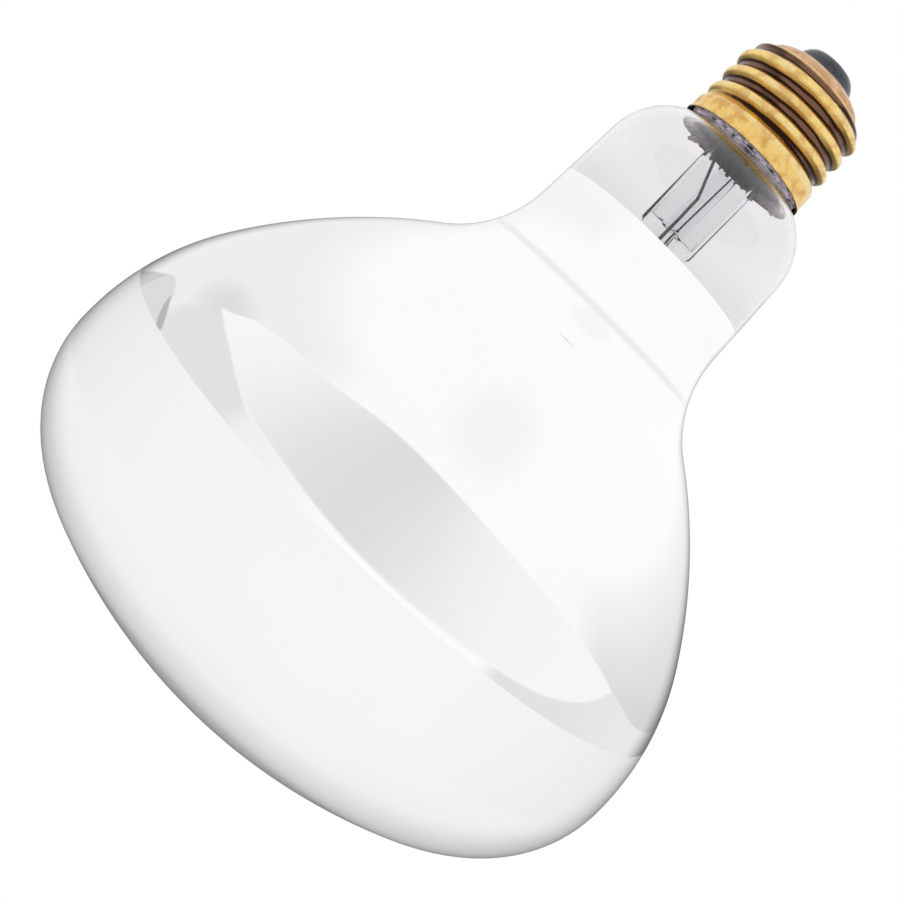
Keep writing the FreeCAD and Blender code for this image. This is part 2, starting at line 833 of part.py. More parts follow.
def support_wire(number):
    """A support wire: out of the button, down to the filament, and round it in a loop."""
    wire = value("support_wire_radius")
    level = BUTTON.number + value("button_thickness") / 2
    start = value("button_radius") - value("support_seat")
    ring, height = value("filament_ring_radius"), FILAMENT.number
    loop = value("filament_coil_radius") + wire + value("fit_gap")
    # The wire leaves the loop as a tangent that rises towards the button
    elbow = Vector(start + 2 * value("support_seat"), 0, level)
    centre = Vector(ring, 0, height)
    away = elbow - centre
    slope = math.atan2(away.z, away.x) + math.acos(loop / away.Length)
    touch = centre + Vector(math.cos(slope), 0, math.sin(slope)) * loop
    closed = math.radians(value("support_loop"))
    middle = centre + Vector(math.cos(slope + closed / 2), 0, math.sin(slope + closed / 2)) * loop
    finish = centre + Vector(math.cos(slope + closed), 0, math.sin(slope + closed)) * loop
    run = bent_path([Vector(start, 0, level), elbow, touch], value("lead_bend"))
    path = Part.Wire(run.Edges + [Part.Arc(touch, middle, finish).toShape()])
    feature = feature_of(f"support_wire_{number + 1}", round_wire(path, wire))
    spread = value("support_spread")
    azimuth = -spread / 2 + spread * number / (value("support_count") - 1)
    feature.Placement = Placement(Vector(), Rotation(Vector(0, 0, 1), azimuth))
    return feature


def filament():
    """The coiled tungsten wire, as the round cord that its turns fill, bent to an open ring."""
    body = new_body("filament")
    sketch = new_sketch(body, "section")
    ring, height = size("filament_ring_radius"), FILAMENT
    circle(sketch, ring, height, size("filament_coil_radius"))
    open_angle = size("filament_gap")
    turn(body, sketch, "coil", angle=as_size(360) - open_angle)
    turn_about_axis(body, size("filament_gap") / 2 - 180)
    return body


# Leads


def press_point(side, height):
    """A point on the axis of one of the two press wires: side +1 is the centre contact's."""
    return at_azimuth(side * value("lead_spacing") / 2, value("press_azimuth"), height)


def press_wire(label, side):
    """The short wire that the press seals, with a stub above and below for the leads."""
    low = PRESS_BOTTOM.number - value("press_wire_stub")
    high = STEM_BORE_END.number + value("press_wire_stub")
    shape = Part.makeCylinder(value("press_wire_radius"), high - low, press_point(side, low))
    return feature_of(label, shape)


def inner_lead(label, side):
    """A stiff lead from the press down and out to one end of the filament."""
    top = PRESS_BOTTOM.number - value("press_wire_stub")
    azimuth = 180 - side * value("filament_gap") / 2
    back = value("inner_lead_radius") + value("fit_gap")
    azimuth += side * math.degrees(back / value("filament_ring_radius"))
    ring, height = value("filament_ring_radius"), FILAMENT.number
    points = [
        press_point(side, top),
        press_point(side, top - value("inner_lead_drop")),
        at_azimuth(ring, azimuth, height + value("inner_lead_rise")),
        at_azimuth(ring, azimuth, height - value("filament_coil_radius")),
    ]
    path = bent_path(points, 2 * value("lead_bend"))
    return feature_of(label, round_wire(path, value("inner_lead_radius")))


def centre_lead():
    """The thin lead from the press up beside the exhaust tube, over its tip and into the contact."""
    clear = value("lead_clearance")
    foot = press_point(+1, STEM_BORE_END.number + value("press_wire_stub"))
    over_tip = EXHAUST_TIP.number + clear
    points = [
        foot,
        foot + Vector(0, 0, clear),
        Vector(foot.x + clear / 2, foot.y, FLARE_START.number),
        Vector(foot.x, foot.y, over_tip - value("exhaust_radius")),
        Vector(0, 0, over_tip),
        Vector(0, 0, contact_levels()[0].number),
    ]
    return round_wire(bent_path(points, value("lead_bend")), value("centre_lead_radius"))


# The slack bend of the side lead inside the stem, as the photograph shows it: x, y, rise from the bore's end
SIDE_LEAD_SLACK = ((-0.8, -3.2, 6.7), (-2.1, -2.9, 10.2), (-3.9, -1.6, 15.2), (-5.0, -0.2, 21.2))
# Where the lead goes round the rim: radius and height, both from the rim's own
SIDE_LEAD_HOOK = ((-1.2, 0.1), (-0.05, -0.52), (0.6, -0.3), (0.4, 1.8))


def side_lead_path():
    """Route of the lead to the rim: up the stem in a slack bend, over the seal, down between the glass and
    the shell, out under the rim and up its outside."""
    clear, azimuth = value("lead_clearance"), value("side_azimuth")
    over = SEAL_TOP.number + value("flare_thickness") + clear
    between = (value("seal_radius") + thread_minor_radius() - value("shell_wall")) / 2
    foot = press_point(-1, STEM_BORE_END.number + value("press_wire_stub"))
    points = [foot, foot + Vector(0, 0, clear)]
    points += [Vector(x, y, STEM_BORE_END.number + rise) for x, y, rise in SIDE_LEAD_SLACK]
    points.append(at_azimuth(value("stem_radius"), azimuth, over))
    points.append(at_azimuth(between, azimuth, over))
    points.append(at_azimuth(between, azimuth, THREAD_START.number))
    for outwards, upwards in SIDE_LEAD_HOOK:
        points.append(at_azimuth(value("rim_radius") + outwards, azimuth, RIM.number + upwards))
    return points


def side_lead(radius):
    return round_wire(bent_path(side_lead_path(), value("lead_bend")), radius)


def side_solder(lead):
    """The dab of solder that holds the lead to the outside of the band."""
    centre = at_azimuth(
        value("band_radius") - value("side_solder_sink"), value("side_azimuth"), SIDE_SOLDER.number
    )
    dab = Part.makeSphere(value("side_solder_radius"), centre)
    foot = Vector(0, 0, RIM.number)
    height = THREAD_END.number - foot.z
    band = Part.makeCylinder(value("band_radius") + value("fit_gap"), height, foot)
    return feature_of("side_solder", dab.cut(band).cut(lead))


# Basing cement


def seal_bend_centre():
    """Centre of the curve by which the glass shoulder runs up into the seal, as radius and height."""
    taper = math.radians(value("neck_taper"))
    shoulder, bend = size("shoulder_radius"), size("seal_bend")
    shoulder_x = size("neck_radius") - shoulder * math.cos(taper)
    shoulder_z = SHOULDER - shoulder * math.sin(taper)
    radius = size("seal_radius") + bend
    rise = math.sqrt((shoulder + bend).number ** 2 - (radius - shoulder_x).number ** 2)
    return radius, shoulder_z + rise


def height_on_bend(radius):
    """Height of the cement's side of that curve, at a radius from the lamp's axis."""
    centre_x, centre_z = (number.number for number in seal_bend_centre())
    curve = value("seal_bend") - value("fit_gap")
    return centre_z - math.sqrt(curve**2 - (centre_x - radius) ** 2)


def cement_drops():
    """Drops of cement squeezed out on the glass below the ring, uneven in size, spacing and reach."""
    centre_x, centre_z = (number.number for number in seal_bend_centre())
    clear_of_glass = Part.makeTorus(centre_x, value("seal_bend") - value("fit_gap"), Vector(0, 0, centre_z))
    drops = []
    for number in range(int(value("drop_count"))):
        azimuth = 360 * (number + 0.3 * math.sin(2.4 * number)) / value("drop_count")
        radius = value("drop_radius") * (1 + 0.3 * math.sin(1.9 * number * number))
        reach = value("cement_lip_radius") + 0.2 * math.cos(3.1 * number)
        drop = Part.makeSphere(radius, at_azimuth(reach, azimuth, height_on_bend(reach)))
        drops.append(drop.common(clear_of_glass))
    return drops[0].multiFuse(drops[1:])


def basing_cement(channel):
    """The ring of cement between the neck's seal and the shell, moulded round the lead."""
    gap = size("fit_gap")
    seal = size("seal_radius") + gap
    band = size("band_radius") - size("shell_wall") - size("cement_gap")
    root = as_size(thread_minor_radius()) - size("shell_wall") - size("cement_gap")
    lip = size("cement_lip_radius")
    ring = turned_body(
        "cement_ring",
        [
            (seal, seal_bend_centre()[1]),
            (lip, height_on_bend(lip.number), size("seal_bend") - gap, +1),
            (band, CEMENT_LOW),
            (band, THREAD_START),
            (root, THREAD_START + size("thread_arc")),
            (root, CEMENT_TOP),
            (seal, CEMENT_TOP),
        ],
    )
    doc.recompute()
    body = doc.addObject("Part::MultiFuse", "cement_body")
    body.Shapes = [ring, feature_of("cement_drops", cement_drops())]
    cement = doc.addObject("Part::Cut", "basing_cement")
    cement.Label = "basing_cement"
    cement.Base = body
    cement.Tool = feature_of("lead_channel", channel)
    return cement


# Assembly

pieces = [glass_envelope(), screw_shell(), insulator(), contact_plate(), centre_solder()]
pieces += [stem(), exhaust_tube(), arbor(), filament()]
pieces += [support_wire(number) for number in range(int(value("support_count")))]
pieces += [press_wire("press_wire_centre", +1), press_wire("press_wire_side", -1)]
pieces += [inner_lead("inner_lead_centre", +1), inner_lead("inner_lead_side", -1)]
pieces.append(feature_of("outer_lead_centre", centre_lead()))
side_lead_shape = side_lead(value("side_lead_radius"))
pieces.append(feature_of("outer_lead_side", side_lead_shape))
pieces.append(side_solder(side_lead_shape))
pieces.append(basing_cement(side_lead(value("side_lead_radius") + value("fit_gap"))))
doc.recompute()

# Check every feature and write one file for each piece

for item in doc.Objects:
    if "Invalid" in item.State or "Error" in item.State:
        raise RuntimeError(f"{item.Name} could not be built: {item.State}")
os.makedirs("parts", exist_ok=True)
for piece in pieces:
    shape = piece.Shape
    if shape.isNull() or not shape.isValid() or shape.Volume <= 0:
        raise RuntimeError(f"{piece.Label} has no valid solid")
    box = shape.BoundBox
    print(f"{piece.Label}: {shape.Volume:.1f} mm3, z {box.ZMin:.2f} to {box.ZMax:.2f}")
    shape.exportStep(os.path.join("parts", f"{piece.Label}.step"))
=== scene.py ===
"""Looks of an infrared heat lamp bulb: frosted face, mirrored flank, clear neck, brass base."""

import json
import math

import bpy
from mathutils import Matrix, Vector

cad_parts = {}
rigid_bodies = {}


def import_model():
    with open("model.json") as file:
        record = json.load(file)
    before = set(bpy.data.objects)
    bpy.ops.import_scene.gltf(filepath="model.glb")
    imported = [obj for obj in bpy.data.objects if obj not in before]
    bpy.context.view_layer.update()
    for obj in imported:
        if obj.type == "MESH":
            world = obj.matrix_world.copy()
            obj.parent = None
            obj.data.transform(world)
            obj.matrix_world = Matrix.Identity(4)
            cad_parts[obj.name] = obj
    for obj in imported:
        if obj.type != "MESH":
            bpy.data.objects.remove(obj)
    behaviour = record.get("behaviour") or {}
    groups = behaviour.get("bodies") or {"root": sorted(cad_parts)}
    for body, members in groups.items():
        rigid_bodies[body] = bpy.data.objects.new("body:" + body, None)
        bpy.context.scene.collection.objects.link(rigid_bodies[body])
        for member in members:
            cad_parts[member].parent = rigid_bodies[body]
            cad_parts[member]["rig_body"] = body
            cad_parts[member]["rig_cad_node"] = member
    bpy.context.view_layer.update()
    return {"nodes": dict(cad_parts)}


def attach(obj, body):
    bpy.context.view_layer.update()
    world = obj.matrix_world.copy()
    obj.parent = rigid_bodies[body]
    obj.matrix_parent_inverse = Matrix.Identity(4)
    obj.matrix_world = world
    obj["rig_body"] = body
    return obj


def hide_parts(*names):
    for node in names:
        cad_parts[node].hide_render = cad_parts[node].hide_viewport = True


bl_info = {
    "name": "Heat Lamp Bulb",
    "version": (1, 0, 0),
    "blender": (4, 5, 0),
    "location": "3D View > Sidebar > Heat Lamp",
    "description": "Builds the pieces and finishes of a reflector heat lamp on its packed frame",
    "category": "Add Mesh",
}

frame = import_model()

MM = 0.001
TO_MM = 1000.0
BODY = "root"

# Mesh: distance under which vertices join, and divisions along each part of the bulb's outline
NODE_MERGE = 2e-6
TURN_MERGE = 1e-6
STEPS = {
    "face": 28,
    "edge": 24,
    "crown": 20,
    "flank": 20,
    "waist": 20,
    "neck": 10,
    "shoulder": 30,
    "bend": 8,
    "seal": 4,
}

# Places of the bulb's finishes in its list, and the steps from the outer skin's to the others
FROSTED, MIRRORED, CLEAR = 0, 1, 2
TO_INNER_SKIN, TO_RIM = 3, 2

# A face of the shell whose normal falls below this looks straight down
DOWNWARD = -0.95

# Clear glass above the mirror's edge, in metres: where painted shade that greys it ends, and where
# painted light that makes it lighter at the seal begins
NECK_SHADE_END = 11.0 * MM
NECK_SHADE_FACTOR = 0.93
SEAL_START, SEAL_FULL = 18.5 * MM, 23.5 * MM
LIT_SEAL_GLASS = (0.98, 0.945, 0.97)

# Stem glass: its low index gives outlines as soft as the photograph's
STEM_GLASS = (0.93, 0.93, 0.935)
STEM_WAVINESS = 0.03
STEM_IOR = 1.06

# A painted reflection: a thin darker line round the mirror, standing in for a reflected line; its
# height and half width, metres
PAINTED_REFLECTION_HEIGHT = 96.5 * MM
LINE_CORE, LINE_EDGE = 0.2 * MM, 0.9 * MM
REFLECTION_LINE_SHADE = 0.87

# Brass: root and crest of the thread, and the zones that fade over a short height, millimetres
THREAD_ROOT, THREAD_CREST = 12.1, 13.2
THREAD_START = (136.4, 137.4)
THREAD_END = (150.4, 149.6)
SHOULDER_START = (150.2, 150.8)
ORANGE_BRASS = (0.66, 0.36, 0.11)
SHOULDER_BRASS = (0.72, 0.46, 0.26), (0.56, 0.33, 0.17)

# Cement, metres from the axis: pale outside the seal's ring, partly its own colour and partly
# painted light against the recess's shade, and dark where it meets the brass, painted shade in the
# gap
PALE_AND_LIT_RING = (11.2 * MM, 11.9 * MM)
SHADED_JOINT = (12.7 * MM, 12.9 * MM)
JOINT_SHADE_COLOUR = (0.10, 0.085, 0.09)
PALEST = 0.93

# Other finishes: two shades of each
INSULATOR_BLACK = (0.010, 0.013, 0.022), (0.032, 0.038, 0.056)
MIRROR_BACK = (0.93, 0.93, 0.93), (0.88, 0.88, 0.885)
# Painted shade: the shell's inner side and the underside of its rim
SHELL_INSIDE_SHADE = (0.10, 0.075, 0.065), (0.05, 0.035, 0.03)
CONTACT_BRASS = (0.72, 0.53, 0.25), (0.5, 0.34, 0.15)
SOLDER = (0.6, 0.6, 0.6), (0.38, 0.38, 0.39)
NICKEL = (0.55, 0.52, 0.48), (0.35, 0.33, 0.31)
TUNGSTEN = (0.30, 0.30, 0.32), (0.18, 0.18, 0.19)


# Settings


def length(name, description, default):
    return bpy.props.FloatProperty(name=name, description=f"{description}, mm", default=default)


def angle(name, description, degrees):
    return bpy.props.FloatProperty(
        name=name, description=description, default=math.radians(degrees), subtype="ANGLE"
    )


def number(name, description, default):
    return bpy.props.FloatProperty(name=name, description=description, default=default)


def colour(name, description, default):
    return bpy.props.FloatVectorProperty(
        name=name, description=description, default=default, size=3, subtype="COLOR"
    )


class LampGlass(bpy.types.PropertyGroup):
    """Outer section of the blown bulb, in millimetres, and its coatings."""

    bulb_diameter: length("Bulb diameter", "Widest part", 127.0)
    face_radius: length("Face radius", "Curve of the face", 96.4)
    edge_radius: length("Edge radius", "Curve below the widest part", 23.8)
    crown_radius: length("Crown radius", "Curve above the widest part", 49.5)
    crown_sweep: angle("Crown sweep", "Turn of the crown", 32.5)
    flank_radius: length("Flank radius", "Curve of the flank", 102.6)
    waist_radius: length("Waist radius", "Hollow curve at the neck", 22.3)
    neck_radius: length("Neck radius", "Top of the neck's taper", 20.5)
    neck_taper: angle("Neck taper", "Slope of the neck", 3.4)
    shoulder_height: length("Shoulder height", "Where the neck turns in", 122.7)
    shoulder_radius: length("Shoulder radius", "Curve of the shoulder", 12.2)
    seal_bend: length("Seal bend", "Curve into the seal", 2.5)
    seal_radius: length("Seal radius", "Outside of the seal", 10.6)
    seal_height: length("Seal height", "Top of the seal", 143.0)
    wall: length("Wall", "Thickness of the glass", 0.9)
    mirror_bottom: length("Mirror bottom", "Lower edge of the mirror", 48.9)
    mirror_top: length("Mirror top", "Upper edge of the mirror", 111.5)
    turns: bpy.props.IntProperty(
        name="Divisions", description="Divisions round the axis", default=160, min=24
    )


class LampFinish(bpy.types.PropertyGroup):
    """Colours of the pieces."""

    frost: colour("Frost", "Frosted face", (0.965, 0.965, 0.97))
    mirror: colour("Mirror", "Aluminised flank", (0.97, 0.965, 0.988))
    glass: colour("Glass", "Clear glass", (0.915, 0.908, 0.918))
    brass: colour("Brass", "Polished brass", (0.86, 0.60, 0.20))
    tarnish: colour("Tarnish", "Dark brass in the thread", (0.025, 0.012, 0.01))
    cement: colour("Cement", "Basing cement", (0.60, 0.50, 0.57))
    wire: colour("Wire", "Darkened lead wire", (0.10, 0.085, 0.09))


class LampStage(bpy.types.PropertyGroup):
    """Camera and light."""

    lens: length("Lens", "Focal length of the camera", 45.04)
    distance: length("Distance", "From the lamp's axis to the camera", 206.27)
    height: length("Height", "Camera above the face", 85.04)
    shift_x: number("Shift X", "Sideways shift of the frame", -0.0539)
    shift_y: number("Shift Y", "Upward shift of the frame", 0.0240)
    sky: number("Sky", "Strength of the light all round", 1.0)
    floor_drop: length("Floor drop", "Floor below the face", 270.0)
    screen_radius: length("Screen", "Radius of the grey film", 90.0)


# Mesh helpers


def deselect():
    bpy.ops.object.select_all(action="DESELECT")


def select(obj):
    """Make one object the only selected one and the active one."""
    deselect()
    obj.select_set(True)
    bpy.context.view_layer.objects.active = obj


def edit(obj):
    """Enter edit mode on one object, with vertex selection."""
    select(obj)
    bpy.ops.object.mode_set(mode="EDIT")
    bpy.ops.mesh.select_mode(type="VERT")


def leave():
    bpy.ops.object.mode_set(mode="OBJECT")


def start_outline(name, x, z):
    """A new mesh of one selected vertex in the XZ plane, left in edit mode. Millimetres."""
    deselect()
    bpy.ops.mesh.primitive_plane_add(size=MM)
    obj = bpy.context.object
    obj.name = obj.data.name = name
    edit(obj)
    bpy.ops.mesh.select_all(action="SELECT")
    bpy.ops.mesh.merge(type="CENTER")
    bpy.ops.transform.translate(value=(x * MM, 0, z * MM))
    return obj


def draw_arc(centre_x, centre_z, turn, steps):
    """Carry the selected vertex round a centre, anticlockwise as seen from the front."""
    centre = (centre_x * MM, 0, centre_z * MM)
    bpy.ops.mesh.spin(steps=steps, angle=turn, center=centre, axis=(0, 1, 0))


def draw_line(x, z, steps):
    """Carry the selected vertex along x, z."""
    for _ in range(steps):
        move = (x / steps * MM, 0, z / steps * MM)
        bpy.ops.mesh.extrude_region_move(TRANSFORM_OT_translate={"value": move})


def turn_outline(steps):
    """Turn the outline into a solid of revolution about the lamp's axis."""
    bpy.ops.mesh.select_all(action="SELECT")
    bpy.ops.mesh.spin(steps=steps, angle=2 * math.pi, center=(0, 0, 0), axis=(0, 0, 1))
    bpy.ops.mesh.select_all(action="SELECT")
    bpy.ops.mesh.remove_doubles(threshold=TURN_MERGE)
    bpy.ops.mesh.normals_make_consistent(inside=False)
    leave()


def smooth(obj, degrees=40.0):
    select(obj)
    bpy.ops.object.shade_smooth_by_angle(angle=math.radians(degrees))


def node_copy(node, name):
    """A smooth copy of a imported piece, with its loose triangles joined."""
    obj = frame["nodes"][node].copy()
    obj.data = obj.data.copy()
    obj.name = obj.data.name = name
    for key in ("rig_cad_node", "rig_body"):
        if key in obj:
            del obj[key]
    obj.parent = None
    obj.matrix_world = Matrix.Identity(4)
    bpy.context.scene.collection.objects.link(obj)
    edit(obj)
    bpy.ops.mesh.select_all(action="SELECT")
    bpy.ops.mesh.remove_doubles(threshold=NODE_MERGE)
    leave()
    smooth(obj)
    return obj


def finish_piece(obj, slot, nodes, *materials):
    """Give a finished piece its materials and its body, and hide the nodes that it stands for. The
    slot is not used.
    """
    obj.data.materials.clear()
    for material in materials:
        obj.data.materials.append(material)
    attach(obj, BODY)
    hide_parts(*nodes)


def dress(node, name, slot, *materials):
    """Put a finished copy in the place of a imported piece."""
    obj = node_copy(node, name)
    finish_piece(obj, slot, [node], *materials)
    return obj


# Material helpers


def shade(base, factor, limit=1.0):
    """A colour made darker or lighter, with no channel above the limit."""
    return tuple(min(channel * factor, limit) for channel in base)


class Nodes:
    """A node tree under construction."""

    def __init__(self, tree):
        self.tree = tree

    def node(self, kind, links=None, **settings):
        made = self.tree.nodes.new(kind)
        for setting, choice in settings.items():
            setattr(made, setting, choice)
        for socket, source in (links or {}).items():
            if isinstance(source, bpy.types.NodeSocket):
                self.tree.links.new(source, made.inputs[socket])
            else:
                made.inputs[socket].default_value = source
        return made

    def slope(self, source, low, high, to_low=0.0, to_high=1.0, kind="LINEAR"):
        """Carry the range from low to high to another one, in a straight line."""
        links = {"Value": source, "From Min": low, "From Max": high}
        links |= {"To Min": to_low, "To Max": to_high}
        return self.node("ShaderNodeMapRange", links, interpolation_type=kind).outputs["Result"]

    def spread(self, source, low, high, to_low=0.0, to_high=1.0):
        """The same with soft ends."""
        return self.slope(source, low, high, to_low, to_high, "SMOOTHSTEP")

    def math(self, operation, first, second=0.0):
        links = {0: first, 1: second}
        return self.node("ShaderNodeMath", links, operation=operation).outputs["Value"]

    def product(self, first, *others):
        for other in others:
            first = self.math("MULTIPLY", first, other)
        return first

    def largest(self, first, *others):
        for other in others:
            first = self.math("MAXIMUM", first, other)
        return first

    def curve(self, source, points):
        """A smooth curve through points (x, y) from 0 to 1."""
        made = self.node("ShaderNodeFloatCurve", {"Value": source})
        line = made.mapping.curves[0]
        for _ in points[2:]:
            line.points.new(0.5, 0.5)
        for point, (x, y) in zip(line.points, sorted(points)):
            point.location = (x, y)
        made.mapping.update()
        return made.outputs["Value"]

    def ramp(self, source, stops):
        """Colours along a value: stops of position and colour."""
        made = self.node("ShaderNodeValToRGB", {"Fac": source})
        elements = made.color_ramp.elements
        for _ in stops[2:]:
            elements.new(0.5)
        for element, (position, shown) in zip(elements, stops):
            element.position = position
            element.color = (*shown, 1.0)
        return made.outputs["Color"]

    def mix(self, share, first, second):
        """Two colours mixed. The node names its sockets alike for each type: 6, 7 are colours."""
        made = self.tree.nodes.new("ShaderNodeMix")
        made.data_type = "RGBA"
        for socket, source in ((0, share), (6, first), (7, second)):
            if isinstance(source, bpy.types.NodeSocket):
                self.tree.links.new(source, made.inputs[socket])
            else:
                made.inputs[socket].default_value = source if socket == 0 else (*source, 1.0)
        return made.outputs[2]


class Finish(Nodes):
    """A material under construction: its shader and its node tree."""

    def __init__(self, name, **sockets):
        self.material = bpy.data.materials.new(name)
        self.material.use_nodes = True
        super().__init__(self.material.node_tree)
        self.shader = self.tree.nodes["Principled BSDF"]
        for socket, amount in sockets.items():
            self.shader.inputs[socket.replace("_", " ")].default_value = amount
        self.place = self.tree.nodes.new("ShaderNodeTexCoord").outputs["Object"]

    def noise(self, scale, detail=3.0, roughness=0.5):
        links = {"Vector": self.place, "Scale": scale, "Detail": detail, "Roughness": roughness}
        return self.node("ShaderNodeTexNoise", links).outputs["Fac"]

    def bump(self, height, strength, distance):
        links = {"Height": height, "Strength": strength, "Distance": distance}
        self.connect(self.node("ShaderNodeBump", links).outputs["Normal"], "Normal")

    def connect(self, source, socket):
        self.tree.links.new(source, self.shader.inputs[socket])

    def axis_distance(self):
        """Distance from the lamp's axis, in metres."""
        links = {0: self.place, 1: (1.0, 1.0, 0.0)}
        flat = self.node("ShaderNodeVectorMath", links, operation="MULTIPLY").outputs["Vector"]
        return self.node("ShaderNodeVectorMath", {0: flat}, operation="LENGTH").outputs["Value"]

    def height(self):
        """Height above the face, in metres."""
        return self.node("ShaderNodeSeparateXYZ", {"Vector": self.place}).outputs["Z"]


def clear_glass(name, tint, waviness=0.02, ior=1.5, greyed_from=None):
    """Clear glass. Up from the height greyed_from, in metres, painted shade greys it for
    a short way, and at the seal painted light makes it lightest."""
    glass = Finish(name, Base_Color=(*tint, 1.0), Transmission_Weight=1.0, IOR=ior)
    if greyed_from is not None:
        above_mirror = glass.math("SUBTRACT", glass.height(), greyed_from)
        # Painted shade: the glass greyed for a short way above the mirror's edge
        neck_shade = glass.spread(above_mirror, 0.0, NECK_SHADE_END, 1.0, 0.0)
        # Painted light: the glass lighter at the seal
        seal = glass.spread(above_mirror, SEAL_START, SEAL_FULL)
        upper = glass.mix(seal, tuple(tint), LIT_SEAL_GLASS)
        glass.connect(glass.mix(neck_shade, upper, shade(tint, NECK_SHADE_FACTOR)), "Base Color")
    glass.bump(glass.noise(90.0, 1.0), waviness, 0.001)
    smudge = glass.noise(160.0, 4.0)
    glass.connect(glass.spread(smudge, 0.45, 0.8, 0.0, 0.04), "Roughness")
    return glass.material


def frosted_glass(finish):
    """White inside frost under a smooth outer skin."""
    frost = Finish("frosted_face", Coat_Weight=1.0, Coat_Roughness=0.03)
    patches = frost.spread(frost.noise(45.0), 0.3, 0.7)
    frost.connect(frost.mix(patches, shade(finish.frost, 0.985), tuple(finish.frost)), "Base Color")
    frost.connect(frost.spread(frost.noise(2500.0, 2.0), 0.2, 0.8, 0.42, 0.6), "Roughness")
    frost.bump(frost.noise(3500.0, 2.0), 0.03, 0.0002)
    return frost.material


def mirrored_glass(finish):
    """Aluminium laid on the inside of the glass, seen through it."""
    mirror = Finish("mirrored_flank", Metallic=1.0, Coat_Weight=1.0, Coat_Roughness=0.0)
    cloud = mirror.spread(mirror.noise(35.0, 4.0), 0.35, 0.65)
    clouded = mirror.mix(cloud, shade(finish.mirror, 0.99), tuple(finish.mirror))
    # Painted reflection: a thin darker line painted into the mirror's colour at one height
    from_line = mirror.math("ABSOLUTE", mirror.math("SUBTRACT", mirror.height(), PAINTED_REFLECTION_HEIGHT))
    line = mirror.spread(from_line, LINE_EDGE, LINE_CORE)
    mirror.connect(mirror.mix(line, clouded, shade(finish.mirror, REFLECTION_LINE_SHADE)), "Base Color")
    mirror.connect(mirror.spread(mirror.noise(60.0, 5.0), 0.3, 0.75, 0.015, 0.06), "Roughness")
    mirror.bump(mirror.noise(40.0, 1.0), 0.015, 0.0006)
    return mirror.material


def tarnished_brass(finish):
    """Brass: brown and dark in the thread's roots, bright on its crests, golden and mottled on the
    band, reddish on the shoulder."""
    brass = Finish("tarnished_brass", Metallic=1.0)
    mottle = brass.noise(420.0, 5.0, 0.6)
    large = brass.noise(110.0)
    radius = brass.math("MULTIPLY", brass.axis_distance(), TO_MM)
    high = brass.math("MULTIPLY", brass.height(), TO_MM)
    band = brass.mix(brass.spread(mottle, 0.4, 0.66), tuple(finish.brass), ORANGE_BRASS)
    # Across the thread, from root to crest, with edges that wander a little
    wandering = brass.math("ADD", radius, brass.spread(large, 0.3, 0.7, -0.07, 0.07))
    across = brass.slope(wandering, THREAD_ROOT, THREAD_CREST)
    tarnish = tuple(finish.tarnish)
    stops = (
        (0.0, (0.18, 0.095, 0.06)),
        (0.03, (0.12, 0.06, 0.04)),
        (0.07, tarnish),
        (0.23, tarnish),
        (0.31, (0.36, 0.19, 0.06)),
        (0.42, (0.74, 0.48, 0.13)),
        (0.80, (0.88, 0.62, 0.20)),
        (0.95, (0.90, 0.68, 0.27)),
        (1.0, (0.86, 0.67, 0.33)),
    )
    blotches = brass.spread(mottle, 0.44, 0.62, 0.0, 0.6)
    blotched = brass.product(brass.spread(across, 0.4, 0.55), blotches)
    rolled = brass.mix(blotched, brass.ramp(across, stops), ORANGE_BRASS)
    thread = brass.product(brass.spread(high, *THREAD_START), brass.spread(high, *THREAD_END))
    threaded = brass.mix(thread, band, rolled)
    shoulder = brass.mix(brass.spread(mottle, 0.35, 0.65), *SHOULDER_BRASS)
    brass.connect(brass.mix(brass.spread(high, *SHOULDER_START), threaded, shoulder), "Base Color")
    brass.connect(brass.spread(mottle, 0.3, 0.75, 0.2, 0.4), "Roughness")
    brass.bump(mottle, 0.15, 0.00015)
    return brass.material


def black_insulator():
    black = Finish("black_insulator", IOR=1.52)
    pits = black.noise(900.0, 4.0)
    black.connect(black.mix(black.spread(pits, 0.3, 0.7), *INSULATOR_BLACK), "Base Color")
    black.connect(black.spread(pits, 0.3, 0.8, 0.12, 0.35), "Roughness")
    black.bump(black.noise(300.0), 0.1, 0.0002)
    return black.material


def plain_metal(name, shades, roughness, scale=900.0):
    """Metal with two shades in a fine grain."""
    metal = Finish(name, Metallic=1.0)
    grain = metal.noise(scale, 4.0)
    metal.connect(metal.mix(metal.spread(grain, 0.3, 0.7), *shades), "Base Color")
    metal.connect(metal.spread(grain, 0.25, 0.8, roughness, roughness + 0.18), "Roughness")
    metal.bump(grain, 0.15, 0.00008)
    return metal.material


def basing_cement_finish(finish):
    """Mottled cement, pale towards the brass, partly its own colour and partly painted light, and
    dark where it meets the brass, painted shade.
    """
    cement = Finish("basing_cement_finish", Roughness=0.85)
    blotch = cement.spread(cement.noise(260.0, 4.0), 0.46, 0.68)
    mottled = cement.mix(blotch, shade(finish.cement, 1.45, PALEST), shade(finish.cement, 0.3))
    from_axis = cement.axis_distance()
    # Pale: partly the cement's own colour, partly painted light against the shade of the recess
    pale = cement.spread(from_axis, *PALE_AND_LIT_RING)
    # Painted shade in the gap where the cement meets the brass
    joint_shade = cement.spread(from_axis, *SHADED_JOINT)
    pale_and_lit_cement = cement.mix(pale, mottled, shade(finish.cement, 1.6, PALEST))
    cement.connect(cement.mix(joint_shade, pale_and_lit_cement, JOINT_SHADE_COLOUR), "Base Color")
    cement.bump(cement.noise(1200.0, 4.0), 0.6, 0.0004)
    return cement.material


# Operators


